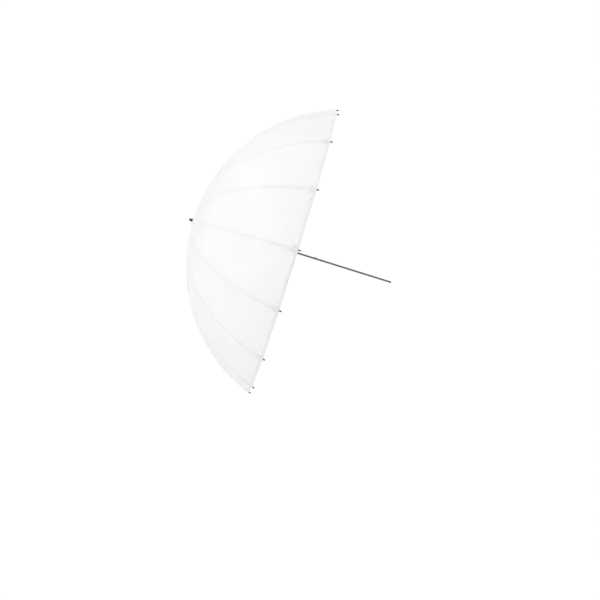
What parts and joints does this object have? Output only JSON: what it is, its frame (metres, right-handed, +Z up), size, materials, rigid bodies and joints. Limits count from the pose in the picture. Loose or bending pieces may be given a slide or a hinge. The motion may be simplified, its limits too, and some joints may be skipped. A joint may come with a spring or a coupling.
{
  "type": "studio umbrella",
  "caption": "Deep translucent umbrella canopy on hinged ribs and stretchers, which folds by a runner along a slim round shaft.",
  "frame": {"origin": "on the shaft's axis, at the place where a stand's grip clamps the shaft", "axes": "+X along the shaft towards its free end, which is also the way the canopy opens; +Z up through rib 1 and the catches; +Y across"},
  "size_m": [0.7483, 1.0514, 1.0514],
  "materials": {
    "shaft_steel": "chrome-plated drawn steel tube",
    "black_plastic": "moulded, satin",
    "crown_nylon": "moulded glass-filled nylon",
    "runner_nylon": "moulded glass-filled nylon",
    "washer_plastic": "moulded, satin",
    "wire_steel": "drawn wire",
    "spring_steel": "bent spring steel, zinc plated",
    "rib_glass_fibre": "pultruded glass-fibre rod, natural white",
    "stretcher_steel": "zinc-plated steel rod and stampings",
    "canopy_cloth": "thin translucent white nylon, plain weave"
  },
  "bodies": {
    "shaft": {"shaft": "shaft_steel", "end_plug": "black_plastic", "crown": "crown_nylon", "crown_ring": "wire_steel", "shaft_pins": "wire_steel", "canopy_washers": "washer_plastic", "ferrule_cap": "black_plastic", "stop_ring": "wire_steel"},
    "runner": {"runner": "runner_nylon", "runner_ring": "wire_steel"},
    "open_catch": {"open_catch": "spring_steel"},
    "closed_catch": {"closed_catch": "spring_steel"},
    "rib_1": {"rib_1": "rib_glass_fibre", "panel_1": "canopy_cloth"},
    "rib_2": {"rib_2": "rib_glass_fibre", "panel_2": "canopy_cloth"},
    "rib_3": {"rib_3": "rib_glass_fibre", "panel_3": "canopy_cloth"},
    "rib_4": {"rib_4": "rib_glass_fibre", "panel_4": "canopy_cloth"},
    "rib_5": {"rib_5": "rib_glass_fibre", "panel_5": "canopy_cloth"},
    "rib_6": {"rib_6": "rib_glass_fibre", "panel_6": "canopy_cloth"},
    "rib_7": {"rib_7": "rib_glass_fibre", "panel_7": "canopy_cloth"},
    "rib_8": {"rib_8": "rib_glass_fibre", "panel_8": "canopy_cloth"},
    "rib_9": {"rib_9": "rib_glass_fibre", "panel_9": "canopy_cloth"},
    "rib_10": {"rib_10": "rib_glass_fibre", "panel_10": "canopy_cloth"},
    "rib_11": {"rib_11": "rib_glass_fibre", "panel_11": "canopy_cloth"},
    "rib_12": {"rib_12": "rib_glass_fibre", "panel_12": "canopy_cloth"},
    "rib_13": {"rib_13": "rib_glass_fibre", "panel_13": "canopy_cloth"},
    "rib_14": {"rib_14": "rib_glass_fibre", "panel_14": "canopy_cloth"},
    "rib_15": {"rib_15": "rib_glass_fibre", "panel_15": "canopy_cloth"},
    "rib_16": {"rib_16": "rib_glass_fibre", "panel_16": "canopy_cloth"},
    "stretcher_1": {"stretcher_1": "stretcher_steel"},
    "stretcher_2": {"stretcher_2": "stretcher_steel"},
    "stretcher_3": {"stretcher_3": "stretcher_steel"},
    "stretcher_4": {"stretcher_4": "stretcher_steel"},
    "stretcher_5": {"stretcher_5": "stretcher_steel"},
    "stretcher_6": {"stretcher_6": "stretcher_steel"},
    "stretcher_7": {"stretcher_7": "stretcher_steel"},
    "stretcher_8": {"stretcher_8": "stretcher_steel"},
    "stretcher_9": {"stretcher_9": "stretcher_steel"},
    "stretcher_10": {"stretcher_10": "stretcher_steel"},
    "stretcher_11": {"stretcher_11": "stretcher_steel"},
    "stretcher_12": {"stretcher_12": "stretcher_steel"},
    "stretcher_13": {"stretcher_13": "stretcher_steel"},
    "stretcher_14": {"stretcher_14": "stretcher_steel"},
    "stretcher_15": {"stretcher_15": "stretcher_steel"},
    "stretcher_16": {"stretcher_16": "stretcher_steel"}
  },
  "joints": [
    {"name": "runner_slide", "type": "slide", "parent": "shaft", "child": "runner", "axis": [1, 0, 0], "range_m": [0, 0.27235], "deforming": ["open_catch", "closed_catch"]},
    {"name": "rib_1_hinge", "type": "hinge", "parent": "shaft", "child": "rib_1", "pos_m": [-0.655, 0, 0.0115], "axis": [0, 1, 0], "range_deg": [0, 53.45], "deforming": ["panel_1"]},
    {"name": "rib_2_hinge", "type": "hinge", "parent": "shaft", "child": "rib_2", "pos_m": [-0.655, 0.0044, 0.01063], "axis": [0, 0.9239, -0.3827], "range_deg": [0, 53.45], "deforming": ["panel_2"]},
    {"name": "rib_3_hinge", "type": "hinge", "parent": "shaft", "child": "rib_3", "pos_m": [-0.655, 0.00813, 0.00813], "axis": [0, 0.7071, -0.7071], "range_deg": [0, 53.45], "deforming": ["panel_3"]},
    {"name": "rib_4_hinge", "type": "hinge", "parent": "shaft", "child": "rib_4", "pos_m": [-0.655, 0.01063, 0.0044], "axis": [0, 0.3827, -0.9239], "range_deg": [0, 53.45], "deforming": ["panel_4"]},
    {"name": "rib_5_hinge", "type": "hinge", "parent": "shaft", "child": "rib_5", "pos_m": [-0.655, 0.0115, 0], "axis": [0, 0, -1], "range_deg": [0, 53.45], "deforming": ["panel_5"]},
    {"name": "rib_6_hinge", "type": "hinge", "parent": "shaft", "child": "rib_6", "pos_m": [-0.655, 0.01063, -0.0044], "axis": [0, -0.3827, -0.9239], "range_deg": [0, 53.45], "deforming": ["panel_6"]},
    {"name": "rib_7_hinge", "type": "hinge", "parent": "shaft", "child": "rib_7", "pos_m": [-0.655, 0.00813, -0.00813], "axis": [0, -0.7071, -0.7071], "range_deg": [0, 53.45], "deforming": ["panel_7"]},
    {"name": "rib_8_hinge", "type": "hinge", "parent": "shaft", "child": "rib_8", "pos_m": [-0.655, 0.0044, -0.01063], "axis": [0, -0.9239, -0.3827], "range_deg": [0, 53.45], "deforming": ["panel_8"]},
    {"name": "rib_9_hinge", "type": "hinge", "parent": "shaft", "child": "rib_9", "pos_m": [-0.655, 0, -0.0115], "axis": [0, -1, 0], "range_deg": [0, 53.45], "deforming": ["panel_9"]},
    {"name": "rib_10_hinge", "type": "hinge", "parent": "shaft", "child": "rib_10", "pos_m": [-0.655, -0.0044, -0.01063], "axis": [0, -0.9239, 0.3827], "range_deg": [0, 53.45], "deforming": ["panel_10"]},
    {"name": "rib_11_hinge", "type": "hinge", "parent": "shaft", "child": "rib_11", "pos_m": [-0.655, -0.00813, -0.00813], "axis": [0, -0.7071, 0.7071], "range_deg": [0, 53.45], "deforming": ["panel_11"]},
    {"name": "rib_12_hinge", "type": "hinge", "parent": "shaft", "child": "rib_12", "pos_m": [-0.655, -0.01063, -0.0044], "axis": [0, -0.3827, 0.9239], "range_deg": [0, 53.45], "deforming": ["panel_12"]},
    {"name": "rib_13_hinge", "type": "hinge", "parent": "shaft", "child": "rib_13", "pos_m": [-0.655, -0.0115, 0], "axis": [0, 0, 1], "range_deg": [0, 53.45], "deforming": ["panel_13"]},
    {"name": "rib_14_hinge", "type": "hinge", "parent": "shaft", "child": "rib_14", "pos_m": [-0.655, -0.01063, 0.0044], "axis": [0, 0.3827, 0.9239], "range_deg": [0, 53.45], "deforming": ["panel_14"]},
    {"name": "rib_15_hinge", "type": "hinge", "parent": "shaft", "child": "rib_15", "pos_m": [-0.655, -0.00813, 0.00813], "axis": [0, 0.7071, 0.7071], "range_deg": [0, 53.45], "deforming": ["panel_15"]},
    {"name": "rib_16_hinge", "type": "hinge", "parent": "shaft", "child": "rib_16", "pos_m": [-0.655, -0.0044, 0.01063], "axis": [0, 0.9239, 0.3827], "range_deg": [0, 53.45], "deforming": ["panel_16"]},
    {"name": "stretcher_1_hinge", "type": "hinge", "parent": "runner", "child": "stretcher_1", "pos_m": [-0.513, 0, 0.0115], "axis": [0, -1, 0], "range_deg": [0, 43.75]},
    {"name": "stretcher_2_hinge", "type": "hinge", "parent": "runner", "child": "stretcher_2", "pos_m": [-0.513, 0.0044, 0.01063], "axis": [0, -0.9239, 0.3827], "range_deg": [0, 43.75]},
    {"name": "stretcher_3_hinge", "type": "hinge", "parent": "runner", "child": "stretcher_3", "pos_m": [-0.513, 0.00813, 0.00813], "axis": [0, -0.7071, 0.7071], "range_deg": [0, 43.75]},
    {"name": "stretcher_4_hinge", "type": "hinge", "parent": "runner", "child": "stretcher_4", "pos_m": [-0.513, 0.01063, 0.0044], "axis": [0, -0.3827, 0.9239], "range_deg": [0, 43.75]},
    {"name": "stretcher_5_hinge", "type": "hinge", "parent": "runner", "child": "stretcher_5", "pos_m": [-0.513, 0.0115, 0], "axis": [0, 0, 1], "range_deg": [0, 43.75]},
    {"name": "stretcher_6_hinge", "type": "hinge", "parent": "runner", "child": "stretcher_6", "pos_m": [-0.513, 0.01063, -0.0044], "axis": [0, 0.3827, 0.9239], "range_deg": [0, 43.75]},
    {"name": "stretcher_7_hinge", "type": "hinge", "parent": "runner", "child": "stretcher_7", "pos_m": [-0.513, 0.00813, -0.00813], "axis": [0, 0.7071, 0.7071], "range_deg": [0, 43.75]},
    {"name": "stretcher_8_hinge", "type": "hinge", "parent": "runner", "child": "stretcher_8", "pos_m": [-0.513, 0.0044, -0.01063], "axis": [0, 0.9239, 0.3827], "range_deg": [0, 43.75]},
    {"name": "stretcher_9_hinge", "type": "hinge", "parent": "runner", "child": "stretcher_9", "pos_m": [-0.513, 0, -0.0115], "axis": [0, 1, 0], "range_deg": [0, 43.75]},
    {"name": "stretcher_10_hinge", "type": "hinge", "parent": "runner", "child": "stretcher_10", "pos_m": [-0.513, -0.0044, -0.01063], "axis": [0, 0.9239, -0.3827], "range_deg": [0, 43.75]},
    {"name": "stretcher_11_hinge", "type": "hinge", "parent": "runner", "child": "stretcher_11", "pos_m": [-0.513, -0.00813, -0.00813], "axis": [0, 0.7071, -0.7071], "range_deg": [0, 43.75]},
    {"name": "stretcher_12_hinge", "type": "hinge", "parent": "runner", "child": "stretcher_12", "pos_m": [-0.513, -0.01063, -0.0044], "axis": [0, 0.3827, -0.9239], "range_deg": [0, 43.75]},
    {"name": "stretcher_13_hinge", "type": "hinge", "parent": "runner", "child": "stretcher_13", "pos_m": [-0.513, -0.0115, 0], "axis": [0, 0, -1], "range_deg": [0, 43.75]},
    {"name": "stretcher_14_hinge", "type": "hinge", "parent": "runner", "child": "stretcher_14", "pos_m": [-0.513, -0.01063, 0.0044], "axis": [0, -0.3827, -0.9239], "range_deg": [0, 43.75]},
    {"name": "stretcher_15_hinge", "type": "hinge", "parent": "runner", "child": "stretcher_15", "pos_m": [-0.513, -0.00813, 0.00813], "axis": [0, -0.7071, -0.7071], "range_deg": [0, 43.75]},
    {"name": "stretcher_16_hinge", "type": "hinge", "parent": "runner", "child": "stretcher_16", "pos_m": [-0.513, -0.0044, 0.01063], "axis": [0, -0.9239, -0.3827], "range_deg": [0, 43.75]},
    {"name": "open_catch_press", "type": "hinge", "parent": "shaft", "child": "open_catch", "pos_m": [-0.5147, 0, 0], "axis": [0, 1, 0], "range_deg": [0, 6.4], "stiffness_Nm_per_rad": 0.6, "springref_deg": -5.73},
    {"name": "closed_catch_press", "type": "hinge", "parent": "shaft", "child": "closed_catch", "pos_m": [-0.18695, 0, 0], "axis": [0, -1, 0], "range_deg": [0, 6.4], "stiffness_Nm_per_rad": 0.6, "springref_deg": -5.73}
  ],
  "couplings": [
    {"joint": "rib_1_hinge", "follows": "runner_slide", "rad_per_m": 3.4252},
    {"joint": "rib_2_hinge", "follows": "runner_slide", "rad_per_m": 3.4252},
    {"joint": "rib_3_hinge", "follows": "runner_slide", "rad_per_m": 3.4252},
    {"joint": "rib_4_hinge", "follows": "runner_slide", "rad_per_m": 3.4252},
    {"joint": "rib_5_hinge", "follows": "runner_slide", "rad_per_m": 3.4252},
    {"joint": "rib_6_hinge", "follows": "runner_slide", "rad_per_m": 3.4252},
    {"joint": "rib_7_hinge", "follows": "runner_slide", "rad_per_m": 3.4252},
    {"joint": "rib_8_hinge", "follows": "runner_slide", "rad_per_m": 3.4252},
    {"joint": "rib_9_hinge", "follows": "runner_slide", "rad_per_m": 3.4252},
    {"joint": "rib_10_hinge", "follows": "runner_slide", "rad_per_m": 3.4252},
    {"joint": "rib_11_hinge", "follows": "runner_slide", "rad_per_m": 3.4252},
    {"joint": "rib_12_hinge", "follows": "runner_slide", "rad_per_m": 3.4252},
    {"joint": "rib_13_hinge", "follows": "runner_slide", "rad_per_m": 3.4252},
    {"joint": "rib_14_hinge", "follows": "runner_slide", "rad_per_m": 3.4252},
    {"joint": "rib_15_hinge", "follows": "runner_slide", "rad_per_m": 3.4252},
    {"joint": "rib_16_hinge", "follows": "runner_slide", "rad_per_m": 3.4252},
    {"joint": "stretcher_1_hinge", "follows": "runner_slide", "rad_per_m": 2.8033},
    {"joint": "stretcher_2_hinge", "follows": "runner_slide", "rad_per_m": 2.8033},
    {"joint": "stretcher_3_hinge", "follows": "runner_slide", "rad_per_m": 2.8033},
    {"joint": "stretcher_4_hinge", "follows": "runner_slide", "rad_per_m": 2.8033},
    {"joint": "stretcher_5_hinge", "follows": "runner_slide", "rad_per_m": 2.8033},
    {"joint": "stretcher_6_hinge", "follows": "runner_slide", "rad_per_m": 2.8033},
    {"joint": "stretcher_7_hinge", "follows": "runner_slide", "rad_per_m": 2.8033},
    {"joint": "stretcher_8_hinge", "follows": "runner_slide", "rad_per_m": 2.8033},
    {"joint": "stretcher_9_hinge", "follows": "runner_slide", "rad_per_m": 2.8033},
    {"joint": "stretcher_10_hinge", "follows": "runner_slide", "rad_per_m": 2.8033},
    {"joint": "stretcher_11_hinge", "follows": "runner_slide", "rad_per_m": 2.8033},
    {"joint": "stretcher_12_hinge", "follows": "runner_slide", "rad_per_m": 2.8033},
    {"joint": "stretcher_13_hinge", "follows": "runner_slide", "rad_per_m": 2.8033},
    {"joint": "stretcher_14_hinge", "follows": "runner_slide", "rad_per_m": 2.8033},
    {"joint": "stretcher_15_hinge", "follows": "runner_slide", "rad_per_m": 2.8033},
    {"joint": "stretcher_16_hinge", "follows": "runner_slide", "rad_per_m": 2.8033}
  ]
}
